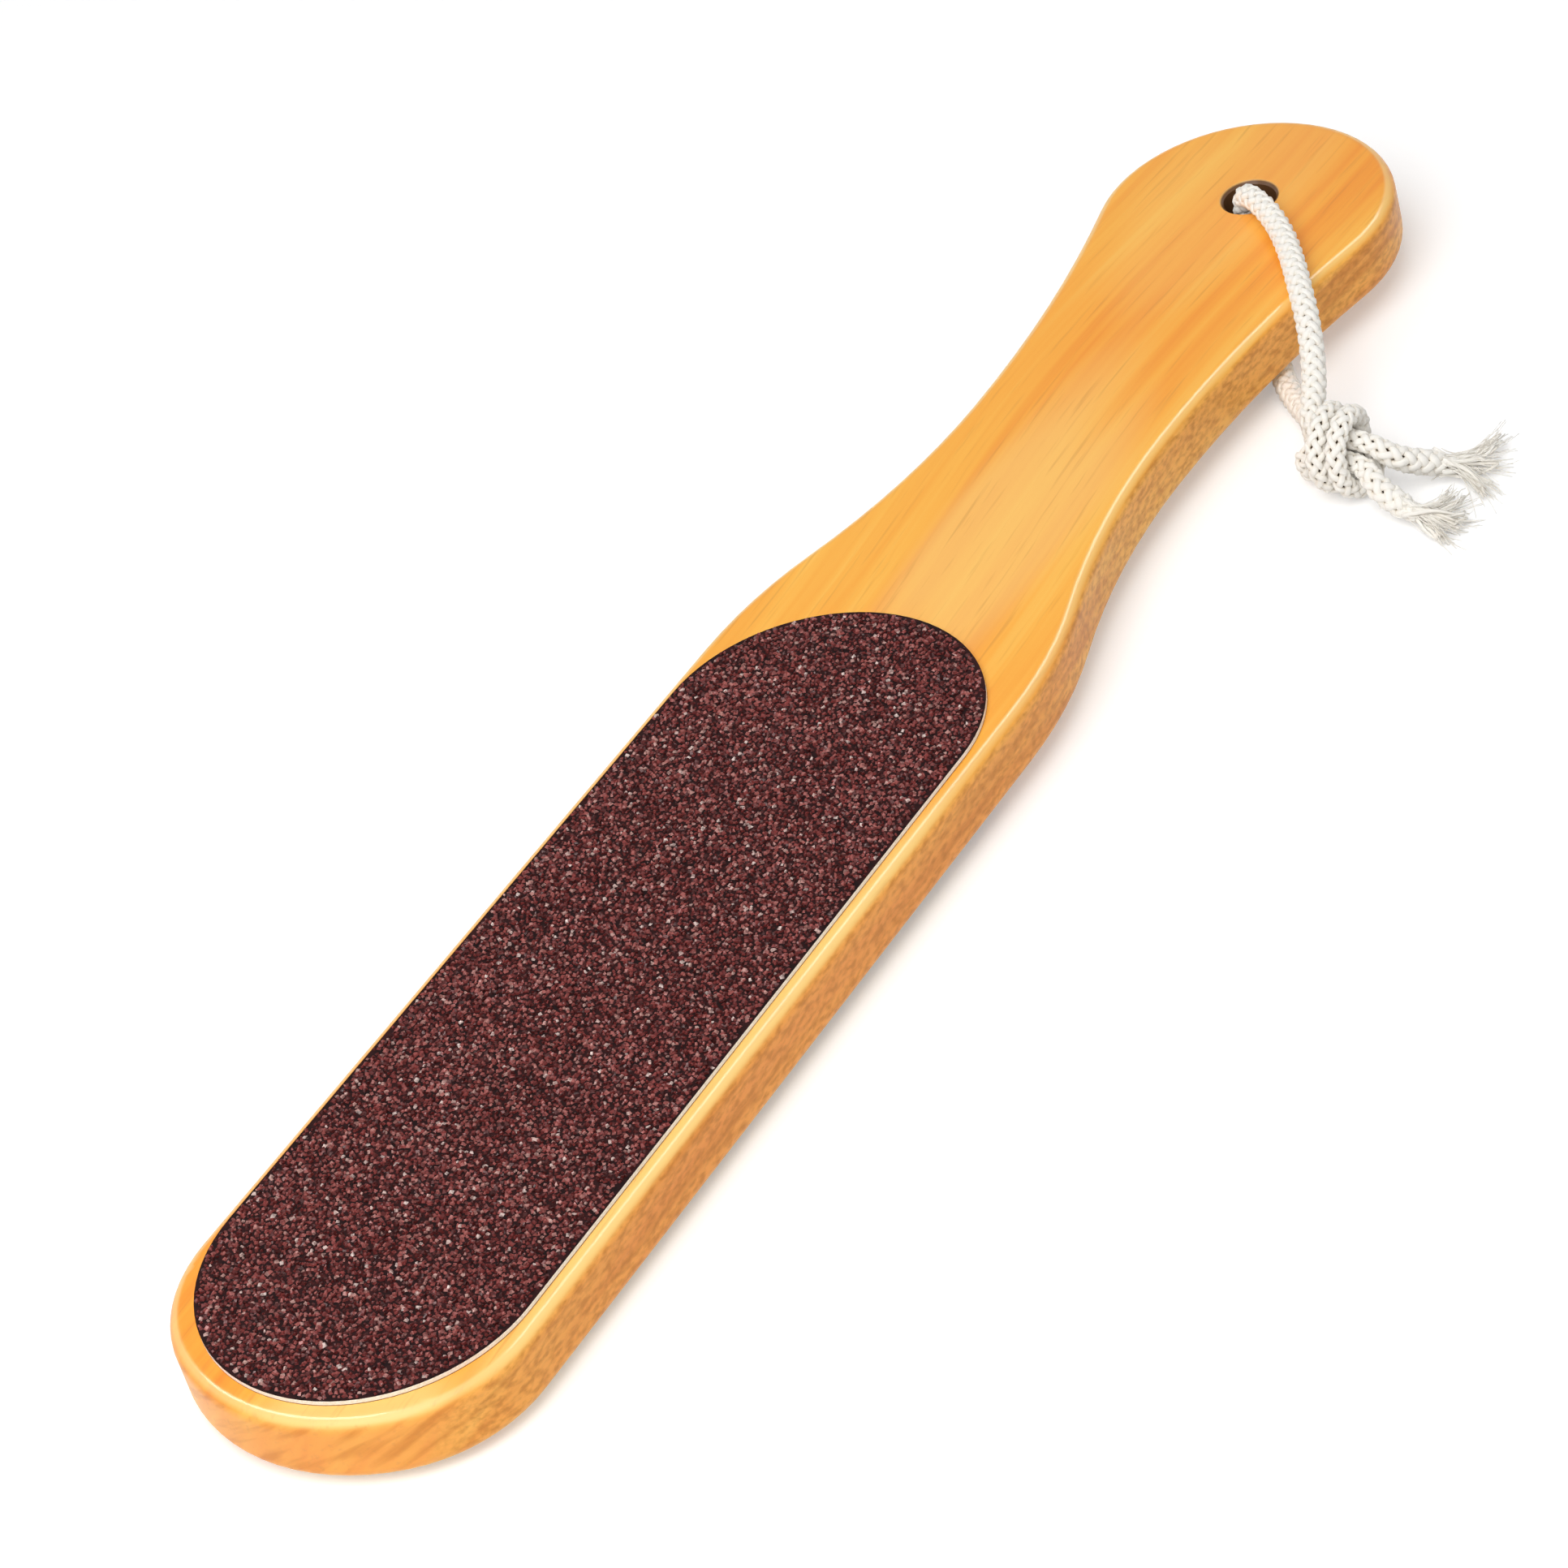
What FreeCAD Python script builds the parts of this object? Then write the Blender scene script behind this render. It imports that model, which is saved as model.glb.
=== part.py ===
import FreeCAD, Part
import math
import os
import Sketcher
from FreeCAD import Placement, Rotation, Vector

# A wooden foot file: a paddle cut from one board, an abrasive pad stuck on each face of its
# head, and a knotted cotton cord through the hole in its handle. Millimetres. The file lies on
# a table at z = 0, on the toe of its rear pad and on the cord that passes under the handle.

DIMENSIONS = {
    # paddle
    "length": 260.0,
    "head_width": 48.0,
    "thickness": 9.2,
    "edge_round": 1.8,
    "toe_flatness": 3.0,
    "toe_corner_inset": 4.0,
    "shoulder_radius": 67.0,
    "neck_radius": 112.0,
    "neck_width": 30.5,
    "neck_from_tip": 70.5,
    "end_width": 42.0,
    "hole_diameter": 7.4,
    "hole_from_tip": 19.0,
    "hole_chamfer": 0.5,
    # abrasive pads
    "pad_from_toe": 3.0,
    "pad_side_margin": 2.2,
    "pad_heel_from_neck": 43.7,
    "backing_thickness": 0.7,
    "grit_thickness": 0.4,
    # hanging cord
    "cord_diameter": 3.6,
    "cord_clearance": 0.3,
    "cord_crossing_from_tip": 43.0,
    "tail_diameter": 3.2,
    "knot_strand_diameter": 2.5,
    "knot_strand_gap": 0.45,
    "fray_length": 7.5,
    "fray_width": 8.0,
    "fray_height": 2.6,
}

# Sizes that follow from those: the toe's flatter arc and its tighter corners, which both touch the head's
# sides, the neck's place from the toe, and the pads' cut from the head's outline
FOLLOWING = {
    "toe_radius": "=head_width / 2 + toe_flatness",
    "toe_corner_radius": "=head_width / 2 - toe_corner_inset",
    "neck_from_toe": "=length - neck_from_tip",
    "pad_length": "=neck_from_toe - pad_heel_from_neck - pad_from_toe",
    "pad_width": "=head_width - 2 * pad_side_margin",
}

# The cord's route, chosen point by point: from the middle of the hole over the front face and
# down to the knot, and from the same place under the back face to the knot.
HOLE_MIDDLE = Vector(110.2, 0.7, 8.7)
FRONT_LEG = [
    HOLE_MIDDLE,
    Vector(110.2, 0.7, 13.2),
    Vector(108.7, -1.6, 15.6),
    Vector(105.0, -7.0, 15.55),
    Vector(99.2, -12.6, 15.5),
    Vector(90.9, -18.7, 15.4),
    Vector(84.6, -23.2, 13.6),
    Vector(79.6, -26.0, 10.9),
    Vector(75.9, -27.6, 9.4),
]
BACK_LEG = [
    HOLE_MIDDLE,
    Vector(110.2, 0.7, 4.3),
    Vector(108.9, -0.6, 2.05),
    Vector(104.3, -4.4, 1.95),
    Vector(95.8, -9.8, 1.85),
    Vector(87.4, -15.4, 1.85),
    Vector(82.0, -20.8, 2.4),
    Vector(77.0, -26.2, 4.2),
]
KNOT_CENTRE = Vector(70.3, -33.6, 6.15)
LOWER_TAIL = [
    Vector(66.0, -41.0, 4.4),
    Vector(65.6, -44.4, 2.4),
    Vector(64.6, -47.7, 1.8),
]
UPPER_TAIL = [
    Vector(70.2, -41.6, 6.2),
    Vector(73.4, -44.2, 3.4),
    Vector(76.0, -47.4, 1.9),
]

doc = FreeCAD.newDocument("foot_file")
sheet = doc.addObject("Spreadsheet::Sheet", "dims")
for row, (alias, size) in enumerate({**DIMENSIONS, **FOLLOWING}.items(), start=1):
    sheet.set(f"A{row}", alias)
    sheet.set(f"B{row}", str(size))
    sheet.setAlias(f"B{row}", alias)
doc.recompute()


def size_of(alias):
    return float(sheet.get(alias))


def bind(owner, target, expression):
    owner.setExpression(target, expression)


# How the file lies: turned about the toe of the rear pad until the cord fits under the handle
pad_thickness = size_of("backing_thickness") + size_of("grit_thickness")
under_cord = size_of("cord_diameter") + size_of("cord_clearance")
crossing = size_of("length") - size_of("cord_crossing_from_tip")
lie_angle = math.asin((under_cord - pad_thickness) / (crossing - size_of("pad_from_toe")))
toe_contact = Vector(size_of("pad_from_toe"), 0, -size_of("thickness") / 2 - pad_thickness)
lie_turn = Rotation(Vector(0, 1, 0), -math.degrees(lie_angle))
lie_shift = Vector(size_of("pad_from_toe") - size_of("length") / 2, 0, 0)
LYING = Placement(lie_shift - lie_turn.multVec(toe_contact), lie_turn)


def new_body(label):
    body = doc.addObject("PartDesign::Body", label)
    body.Label = label
    return body


def origin_plane(body, role):
    return next(plane for plane in body.Origin.OriginFeatures if plane.Role == role)


def new_sketch(body, name):
    sketch = body.newObject("Sketcher::SketchObject", name)
    sketch.AttachmentSupport = [(origin_plane(body, "XY_Plane"), "")]
    sketch.MapMode = "FlatFace"
    return sketch


def constrain(sketch, name, expression, *constraint):
    index = sketch.addConstraint(Sketcher.Constraint(*constraint))
    sketch.renameConstraint(index, name)
    bind(sketch, f"Constraints.{name}", expression)


def arc_between(centre, start, end, clockwise):
    radius = (start - centre).Length
    circle = Part.Circle(centre, Vector(0, 0, 1), radius)
    angles = [math.atan2(point.y - centre.y, point.x - centre.x) for point in (start, end)]
    if clockwise:
        angles.reverse()
    return Part.ArcOfCircle(circle, *angles)


# A curve's named points in a sketch; an arc starts at its smaller angle, so a clockwise one ends at START
START, END, CENTRE = range(1, 4)
X_AXIS = -START
ORIGIN = (X_AXIS, START)


# Paddle: half the outline drawn as tangent arcs, padded, mirrored, and rounded over all round
def draw_half_outline(sketch):
    half_head = size_of("head_width") / 2
    half_neck = size_of("neck_width") / 2
    half_end = size_of("end_width") / 2
    length = size_of("length")
    toe_radius = size_of("toe_radius")
    toe_corner = size_of("toe_corner_radius")
    shoulder = size_of("shoulder_radius")
    neck = size_of("neck_radius")
    to_tip = size_of("neck_from_tip")

    # the handle's flare touches the narrowest place of the neck and the round end
    flare = (to_tip ** 2 + half_neck ** 2 - 2 * to_tip * half_end) / (2 * (half_end - half_neck))

    # centres of the arcs, each worked out from its tangent neighbours
    toe_reach = math.sqrt((toe_radius - toe_corner) ** 2 - (half_head - toe_corner) ** 2)
    toe_centre = Vector(toe_radius, 0, 0)
    corner_centre = Vector(toe_radius - toe_reach, half_head - toe_corner, 0)
    neck_centre = Vector(size_of("neck_from_toe"), half_neck + neck, 0)
    shoulder_drop = neck_centre.y - (half_head - shoulder)
    shoulder_reach = math.sqrt((shoulder + neck) ** 2 - shoulder_drop ** 2)
    shoulder_centre = Vector(neck_centre.x - shoulder_reach, half_head - shoulder, 0)
    flare_centre = Vector(neck_centre.x, half_neck + flare, 0)
    end_centre = Vector(length - half_end, 0, 0)

    # points where neighbouring curves touch
    def along(origin, towards, distance):
        return origin + (towards - origin).normalize() * distance

    toe = Vector(0, 0, 0)
    tip = Vector(length, 0, 0)
    toe_joint = along(toe_centre, corner_centre, toe_radius)
    side_start = Vector(corner_centre.x, half_head, 0)
    side_end = Vector(shoulder_centre.x, half_head, 0)
    shoulder_joint = along(shoulder_centre, neck_centre, shoulder)
    narrowest = Vector(neck_centre.x, half_neck, 0)
    end_joint = along(end_centre, flare_centre, half_end)

    toe_arc, corner_arc, side, shoulder_arc, neck_arc, flare_arc, end_arc, axis = sketch.addGeometry([
        arc_between(toe_centre, toe, toe_joint, True),
        arc_between(corner_centre, toe_joint, side_start, True),
        Part.LineSegment(side_start, side_end),
        arc_between(shoulder_centre, side_end, shoulder_joint, True),
        arc_between(neck_centre, shoulder_joint, narrowest, False),
        arc_between(flare_centre, narrowest, end_joint, False),
        arc_between(end_centre, end_joint, tip, True),
        Part.LineSegment(tip, toe),
    ])

    for joint in (
        (toe_arc, START, corner_arc, END),
        (corner_arc, START, side, START),
        (side, END, shoulder_arc, END),
        (shoulder_arc, START, neck_arc, START),
        (neck_arc, END, flare_arc, START),
        (flare_arc, END, end_arc, END),
    ):
        sketch.addConstraint(Sketcher.Constraint("Tangent", *joint))
    sketch.addConstraint(Sketcher.Constraint("Coincident", toe_arc, END, *ORIGIN))
    sketch.addConstraint(Sketcher.Constraint("Coincident", axis, END, *ORIGIN))
    sketch.addConstraint(Sketcher.Constraint("Coincident", axis, START, end_arc, START))
    sketch.addConstraint(Sketcher.Constraint("Horizontal", axis))
    sketch.addConstraint(Sketcher.Constraint("Horizontal", side))
    for arc in (toe_arc, end_arc):
        sketch.addConstraint(Sketcher.Constraint("PointOnObject", arc, CENTRE, X_AXIS))
    sketch.addConstraint(Sketcher.Constraint("Vertical", neck_arc, END, neck_arc, CENTRE))

    constrain(sketch, "length", "dims.length", "DistanceX", *ORIGIN, end_arc, START, length)
    constrain(sketch, "half_head", "dims.head_width / 2", "DistanceY", *ORIGIN, side, START, half_head)
    constrain(sketch, "neck_from_toe", "dims.neck_from_toe",
              "DistanceX", *ORIGIN, neck_arc, END, narrowest.x)
    constrain(sketch, "half_neck", "dims.neck_width / 2", "DistanceY", *ORIGIN, neck_arc, END, half_neck)
    constrain(sketch, "end_radius", "dims.end_width / 2", "Radius", end_arc, half_end)
    for arc, radius in ((toe_arc, "toe_radius"), (corner_arc, "toe_corner_radius"),
                        (shoulder_arc, "shoulder_radius"), (neck_arc, "neck_radius")):
        constrain(sketch, radius, f"dims.{radius}", "Radius", arc, size_of(radius))


def edges_at_height(shape, height):
    names = []
    for number, edge in enumerate(shape.Edges, start=1):
        if all(abs(vertex.Z - height) < 1e-6 for vertex in edge.Vertexes):
            names.append(f"Edge{number}")
    return names


def make_paddle():
    body = new_body("paddle")
    outline = new_sketch(body, "half_outline")
    draw_half_outline(outline)
    board = body.newObject("PartDesign::Pad", "half_board")
    board.Profile = outline
    board.Midplane = True
    bind(board, "Length", "dims.thickness")
    doc.recompute()

    whole = body.newObject("PartDesign::Mirrored", "whole_board")
    whole.Originals = [board]
    whole.MirrorPlane = (origin_plane(body, "XZ_Plane"), [""])
    whole.Refine = True
    body.Tip = whole
    doc.recompute()

    half_thickness = size_of("thickness") / 2
    rim = edges_at_height(whole.Shape, half_thickness) + edges_at_height(whole.Shape, -half_thickness)
    rounded = body.newObject("PartDesign::Fillet", "round_over")
    rounded.Base = (whole, rim)
    bind(rounded, "Radius", "dims.edge_round")
    body.Tip = rounded
    doc.recompute()

    hole_circle = new_sketch(body, "hole_circle")
    hole_from_toe = size_of("length") - size_of("hole_from_tip")
    circle = hole_circle.addGeometry(
        Part.Circle(Vector(hole_from_toe, 0, 0), Vector(0, 0, 1), size_of("hole_diameter") / 2))
    constrain(hole_circle, "from_toe", "dims.length - dims.hole_from_tip",
              "DistanceX", *ORIGIN, circle, CENTRE, hole_from_toe)
    hole_circle.addConstraint(Sketcher.Constraint("PointOnObject", circle, CENTRE, X_AXIS))
    constrain(hole_circle, "diameter", "dims.hole_diameter", "Diameter", circle, size_of("hole_diameter"))
    hole = body.newObject("PartDesign::Pocket", "hanging_hole")
    hole.Profile = hole_circle
    hole.Midplane = True
    bind(hole, "Length", "dims.thickness + 2 * dims.edge_round")
    doc.recompute()

    mouths = []
    for number, edge in enumerate(hole.Shape.Edges, start=1):
        if isinstance(edge.Curve, Part.Circle) and edge.isClosed():
            if abs(edge.Curve.Radius - size_of("hole_diameter") / 2) < 1e-6:
                mouths.append(f"Edge{number}")
    eased = body.newObject("PartDesign::Chamfer", "eased_mouths")
    eased.Base = (hole, mouths)
    bind(eased, "Size", "dims.hole_chamfer")
    body.Tip = eased
    body.Placement = LYING
    return body


# Abrasive pads: on each face a white backing sheet with its glue, and the coat of grit on it
def draw_pad_outline(sketch):
    radius = size_of("pad_width") / 2
    toe_x = size_of("pad_from_toe") + radius
    heel_x = size_of("pad_from_toe") + size_of("pad_length") - radius
    up = Vector(0, radius, 0)
    toe_centre = Vector(toe_x, 0, 0)
    heel_centre = Vector(heel_x, 0, 0)
    toe_arc, upper, heel_arc, lower = sketch.addGeometry([
        arc_between(toe_centre, toe_centre + up, toe_centre - up, False),
        Part.LineSegment(heel_centre + up, toe_centre + up),
        arc_between(heel_centre, heel_centre - up, heel_centre + up, False),
        Part.LineSegment(toe_centre - up, heel_centre - up),
    ])
    loop = (toe_arc, lower, heel_arc, upper)
    for curve, following in zip(loop, loop[1:] + loop[:1]):
        sketch.addConstraint(Sketcher.Constraint("Tangent", curve, END, following, START))
    sketch.addConstraint(Sketcher.Constraint("Horizontal", upper))
    sketch.addConstraint(Sketcher.Constraint("PointOnObject", toe_arc, CENTRE, X_AXIS))
    constrain(sketch, "toe_centre", "dims.pad_from_toe + dims.pad_width / 2",
              "DistanceX", *ORIGIN, toe_arc, CENTRE, toe_x)
    constrain(sketch, "between_centres", "dims.pad_length - dims.pad_width",
              "DistanceX", toe_arc, CENTRE, heel_arc, CENTRE, heel_x - toe_x)
    constrain(sketch, "end_radius", "dims.pad_width / 2", "Radius", toe_arc, radius)


def make_pad_layer(label, face, inner_expression, thickness_alias):
    body = new_body(label)
    outline = new_sketch(body, f"{label}_outline")
    draw_pad_outline(outline)
    bind(outline, "AttachmentOffset.Base.z", f"{face} * ({inner_expression})")
    layer = body.newObject("PartDesign::Pad", f"{label}_sheet")
    layer.Profile = outline
    layer.Reversed = face < 0
    bind(layer, "Length", f"dims.{thickness_alias}")
    body.Placement = LYING
    return body


def make_pads():
    layers = []
    for side, face in (("front", 1), ("rear", -1)):
        layers.append(make_pad_layer(f"{side}_backing", face, "dims.thickness / 2", "backing_thickness"))
        layers.append(make_pad_layer(f"{side}_grit", face, "dims.thickness / 2 + dims.backing_thickness",
                                     "grit_thickness"))
    return layers


# Knot: one strand runs straight through it, the other goes through, back round both and out again
def knot_point(along, radius, degrees):
    angle = math.radians(degrees)
    return KNOT_CENTRE + Vector(radius * math.cos(angle), -along, radius * math.sin(angle))


def knot_routes():
    strand = size_of("knot_strand_diameter")
    pitch = strand + size_of("knot_strand_gap")
    core = pitch / math.sqrt(3)
    straight_slot, entry_slot = 80, -40
    far_side = straight_slot + 180
    helix_step, half_helix_points = 46, 7
    turn_radius = (core + pitch) / math.cos(math.radians(helix_step / 2))
    half_helix = [far_side + helix_step * (count - 0.5) for count in range(half_helix_points, 0, -1)]

    # half the tied strand, as (along, radius, degrees); the other half is this one turned end for end
    half = [
        (-1.85 * strand, core, entry_slot),
        (0.8 * strand, core, entry_slot),
        (1.6 * strand, core + 0.02 * strand, entry_slot - 6),
        (1.95 * strand, core + 0.32 * strand, entry_slot - 38),
        (1.7 * strand, turn_radius - 0.18 * strand, entry_slot - 60),
        (1.15 * strand, turn_radius + 0.03 * strand, entry_slot - 83),
    ]
    half += [(pitch * (angle - far_side) / 360, turn_radius, angle) for angle in half_helix]
    turned = [(-along, radius, 2 * straight_slot - degrees) for along, radius, degrees in reversed(half)]
    tied = [knot_point(*place) for place in half + turned]
    straight = [knot_point(along * strand, core, straight_slot) for along in (-1.7, 2.0)]
    return tied, straight


# A cord's centre line is straight runs joined by arcs as wide as the runs allow
RUN_SHARE = 0.45


class Route:
    def __init__(self, points):
        self.points = points
        self.bends = []
        for before, corner, after in zip(points, points[1:], points[2:]):
            back = (before - corner).normalize()
            ahead = (after - corner).normalize()
            half_turn = (math.pi - back.getAngle(ahead)) / 2
            trim = RUN_SHARE * min((before - corner).Length, (after - corner).Length)
            radius = trim / math.tan(half_turn)
            inset = radius / math.cos(half_turn) - radius
            crown = corner + (back + ahead).normalize() * inset
            self.bends.append((corner + back * trim, crown, corner + ahead * trim, radius))

    def run_middle(self, run):
        start = self.points[0] if run == 0 else self.bends[run - 1][2]
        end = self.points[-1] if run == len(self.bends) else self.bends[run][0]
        return (start + end) / 2

    def stretch(self, first_run, last_run, from_start=False, to_end=False):
        here = self.points[0] if from_start else self.run_middle(first_run)
        edges = []
        for start, crown, end, radius in self.bends[first_run:last_run]:
            edges.append(Part.LineSegment(here, start).toShape())
            edges.append(Part.Arc(start, crown, end).toShape())
            here = end
        finish = self.points[-1] if to_end else self.run_middle(last_run)
        edges.append(Part.LineSegment(here, finish).toShape())
        return Part.Wire(edges)


# The braid is round to the eye; its solid is swept from a section with this many flat sides
CORD_SIDES = 9
VOLUME_TOLERANCE = 0.02


def tube(centre_line, diameter):
    start = centre_line.Edges[0].Vertexes[0].Point
    direction = centre_line.Edges[0].tangentAt(centre_line.Edges[0].FirstParameter)
    circle = Part.Circle(start, direction, diameter / 2)
    corners = [circle.value(2 * math.pi * side / CORD_SIDES) for side in range(CORD_SIDES)]
    section = Part.makePolygon(corners + corners[:1])
    solid = centre_line.makePipeShell([section], True, False)
    expected = Part.Face(section).Area * centre_line.Length
    if abs(solid.Volume / expected - 1) > VOLUME_TOLERANCE:
        raise ValueError(f"cord volume {solid.Volume:.1f}, expected {expected:.1f}")
    return solid


SAMPLE_SPACING = 0.4
NEIGHBOUR_DIAMETERS = 2.2


def least_gap(lines, diameter):
    # smallest clear distance within and between the strands, neighbours along a strand left out
    samples = []
    for number, line in enumerate(lines):
        points = line.discretize(Number=int(line.Length / SAMPLE_SPACING))
        samples += [(number, step * SAMPLE_SPACING, point) for step, point in enumerate(points)]
    nearest = math.inf
    for index, (strand, place, point) in enumerate(samples):
        for other_strand, other_place, other in samples[index + 1:]:
            apart = strand != other_strand or other_place - place > NEIGHBOUR_DIAMETERS * diameter
            if apart:
                nearest = min(nearest, point.distanceToPoint(other))
    return nearest - diameter


def frayed_tail(centre_line, diameter):
    # the tail's tube, and its unlaid fibres as a fan that spreads flat on the table
    tail = tube(centre_line, diameter)
    last = centre_line.Edges[-1]
    tip = last.Vertexes[-1].Point
    heading = last.tangentAt(last.LastParameter)
    level = Vector(heading.x, heading.y, 0).normalize()
    across = Vector(-level.y, level.x, 0)
    up = heading.cross(across)
    half_width = size_of("fray_width") / 2
    half_height = size_of("fray_height") / 2
    fan_end = tip + level * size_of("fray_length")
    fan_end.z = half_height

    # each corner of the tube's end runs on to the same side of the fan's flat oval end
    end_face = min(tail.Faces, key=lambda face: face.CenterOfMass.distanceToPoint(tip))
    root = end_face.OuterWire
    oval = []
    for vertex in root.OrderedVertexes:
        spoke = vertex.Point - tip
        angle = math.atan2(spoke.dot(up), spoke.dot(across))
        sideways = across * half_width * math.cos(angle)
        oval.append(fan_end + sideways + Vector(0, 0, half_height * math.sin(angle)))
    fan = Part.makeLoft([root, Part.makePolygon(oval + oval[:1])], True, True)
    return tail.fuse(fan)


def add_feature(label, shape):
    feature = doc.addObject("Part::Feature", label)
    feature.Label = label
    feature.Shape = shape
    feature.Placement = Placement()
    return feature


def make_cord():
    cord = size_of("cord_diameter")
    tail = size_of("tail_diameter")
    strand = size_of("knot_strand_diameter")
    tied, straight = knot_routes()
    front = Route(FRONT_LEG + straight + UPPER_TAIL)
    back = Route(BACK_LEG + tied + LOWER_TAIL)
    for name, route in (("front", front), ("back", back)):
        print(name, "cord radii", " ".join(f"{radius:.1f}" for _, _, _, radius in route.bends))

    # runs whose middles part the legs from the knot, and the knot from the tails
    front_in = len(FRONT_LEG) - 1
    front_out = front_in + len(straight)
    back_in = len(BACK_LEG) - 1
    back_out = back_in + len(tied)
    front_leg = front.stretch(0, front_in, from_start=True)
    front_knot = front.stretch(front_in, front_out)
    front_tail = front.stretch(front_out, len(front.bends), to_end=True)
    back_leg = back.stretch(0, back_in, from_start=True)
    back_knot = back.stretch(back_in, back_out)
    back_tail = back.stretch(back_out, len(back.bends), to_end=True)
    lengths = [line.Length for line in (front_leg, front_knot, front_tail, back_leg, back_knot, back_tail)]
    print("cord lengths", " ".join(f"{length:.1f}" for length in lengths))
    print(f"least gap in the knot {least_gap([front_knot, back_knot], strand):.2f}")
    return [
        add_feature("cord_front_leg", tube(front_leg, cord)),
        add_feature("cord_back_leg", tube(back_leg, cord)),
        add_feature("cord_knot", Part.makeCompound([tube(front_knot, strand), tube(back_knot, strand)])),
        add_feature("cord_lower_tail", frayed_tail(back_tail, tail)),
        add_feature("cord_upper_tail", frayed_tail(front_tail, tail)),
    ]


nodes = [make_paddle()] + make_pads() + make_cord()
doc.recompute()
for item in doc.Objects:
    if "Invalid" in item.State or "Error" in item.State:
        raise RuntimeError(f"{item.Label} failed: {item.State}")
for node in nodes:
    if node.Shape.isNull() or not node.Shape.isValid():
        raise RuntimeError(f"{node.Label} has no valid shape")
os.makedirs("parts", exist_ok=True)
for node in nodes:
    node.Shape.exportStep(f"parts/{node.Label}.step")
    box = node.Shape.BoundBox
    print(f"{node.Label:18s} solids {len(node.Shape.Solids)} volume {node.Shape.Volume:9.1f} "
          f"x {box.XMin:.1f} {box.XMax:.1f} y {box.YMin:.1f} {box.YMax:.1f} z {box.ZMin:.2f} {box.ZMax:.2f}")
print(f"lying angle {math.degrees(lie_angle):.4f}")
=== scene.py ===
import math

import bpy
import numpy as np
from mathutils import Matrix, Vector


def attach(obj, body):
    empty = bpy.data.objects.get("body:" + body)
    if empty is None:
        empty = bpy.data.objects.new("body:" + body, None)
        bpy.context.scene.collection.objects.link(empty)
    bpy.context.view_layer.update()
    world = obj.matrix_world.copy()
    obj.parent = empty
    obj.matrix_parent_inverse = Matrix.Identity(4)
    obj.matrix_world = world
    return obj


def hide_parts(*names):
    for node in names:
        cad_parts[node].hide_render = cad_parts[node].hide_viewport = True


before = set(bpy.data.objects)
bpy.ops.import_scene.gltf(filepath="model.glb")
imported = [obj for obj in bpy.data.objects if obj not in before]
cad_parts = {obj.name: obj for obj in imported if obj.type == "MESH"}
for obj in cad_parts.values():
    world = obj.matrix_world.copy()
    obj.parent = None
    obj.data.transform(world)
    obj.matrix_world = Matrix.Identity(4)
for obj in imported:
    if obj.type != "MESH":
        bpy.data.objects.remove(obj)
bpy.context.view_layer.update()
scene = bpy.context.scene


# Paddle: head, neck and handle sawn from one beech board, its edges rounded over on a router,
# sanded, stained a warm amber and finished with clear satin lacquer. The hanging hole is drilled.
MM = 0.001
BOARD_LENGTH = 260.0
BOARD_THICKNESS = 9.2
HOLE_FROM_TOE = 241.0
HOLE_RADIUS = 3.7

# the file lies on the toe of its rear pad, and on the cord that crosses under the handle
PAD_FROM_TOE = 3.0
PAD_THICKNESS = 1.1
ROOM_FOR_CORD = 3.9
CROSSING_FROM_TOE = 217.0
HANDLE_RISE = math.asin((ROOM_FOR_CORD - PAD_THICKNESS) / (CROSSING_FROM_TOE - PAD_FROM_TOE))
RISE_SIN, RISE_COS = math.sin(HANDLE_RISE), math.cos(HANDLE_RISE)


def laid(points):
    # millimetres on the board (from its toe, centre line and mid-plane) to metres on the table
    x, y, z = np.asarray(points, float).T
    x = x - PAD_FROM_TOE
    z = z + BOARD_THICKNESS / 2 + PAD_THICKNESS
    return MM * np.stack([
        RISE_COS * x - RISE_SIN * z + PAD_FROM_TOE - BOARD_LENGTH / 2,
        y,
        RISE_SIN * x + RISE_COS * z,
    ], axis=1)


def srgb(code):
    channels = [int(code[i:i + 2], 16) / 255 for i in (1, 3, 5)]
    linear = [c / 12.92 if c <= 0.04045 else ((c + 0.055) / 1.055) ** 2.4 for c in channels]
    return (*linear, 1.0)


def add(tree, kind, inputs=None, stops=None, **settings):
    # one node with its settings, its colour stops if it has any, and its values or links
    node = tree.nodes.new(kind)
    for name, value in settings.items():
        setattr(node, name, value)
    if stops:
        elements = node.color_ramp.elements
        while len(elements) < len(stops):
            elements.new(1.0)
        for element, (place, colour) in zip(elements, stops):
            element.position = place
            element.color = srgb(colour)
    for socket, value in (inputs or {}).items():
        if isinstance(value, bpy.types.NodeSocket):
            tree.links.new(value, node.inputs[socket])
        else:
            node.inputs[socket].default_value = value
    return node


def new_material(name):
    material = bpy.data.materials.new(name)
    material.use_nodes = True
    material.node_tree.nodes.clear()
    return material, material.node_tree


# Lacquered beech: nearly straight grain in soft amber streaks and fine darker hairlines, short brown
# flecks where the rays are cut on the sawn sides, under a clear coat of soft gloss
beech, tree = new_material("lacquered_beech")
place = add(tree, "ShaderNodeTexCoord").outputs["Object"]
normal = add(tree, "ShaderNodeTexCoord").outputs["Normal"]
facing = add(tree, "ShaderNodeSeparateXYZ", {0: normal}).outputs
flatness = add(tree, "ShaderNodeMath", {0: facing["Z"]}, operation="ABSOLUTE").outputs[0]
side_on = add(tree, "ShaderNodeMath", {0: facing["Y"]}, operation="ABSOLUTE").outputs[0]
side_on = add(tree, "ShaderNodeMapRange", {"Value": side_on, "From Min": 0.6, "From Max": 0.95},
              interpolation_type="SMOOTHSTEP").outputs[0]
sawn = add(tree, "ShaderNodeMapRange", {"Value": flatness, "From Min": 0.75, "From Max": 0.25},
           interpolation_type="SMOOTHSTEP").outputs[0]

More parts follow.
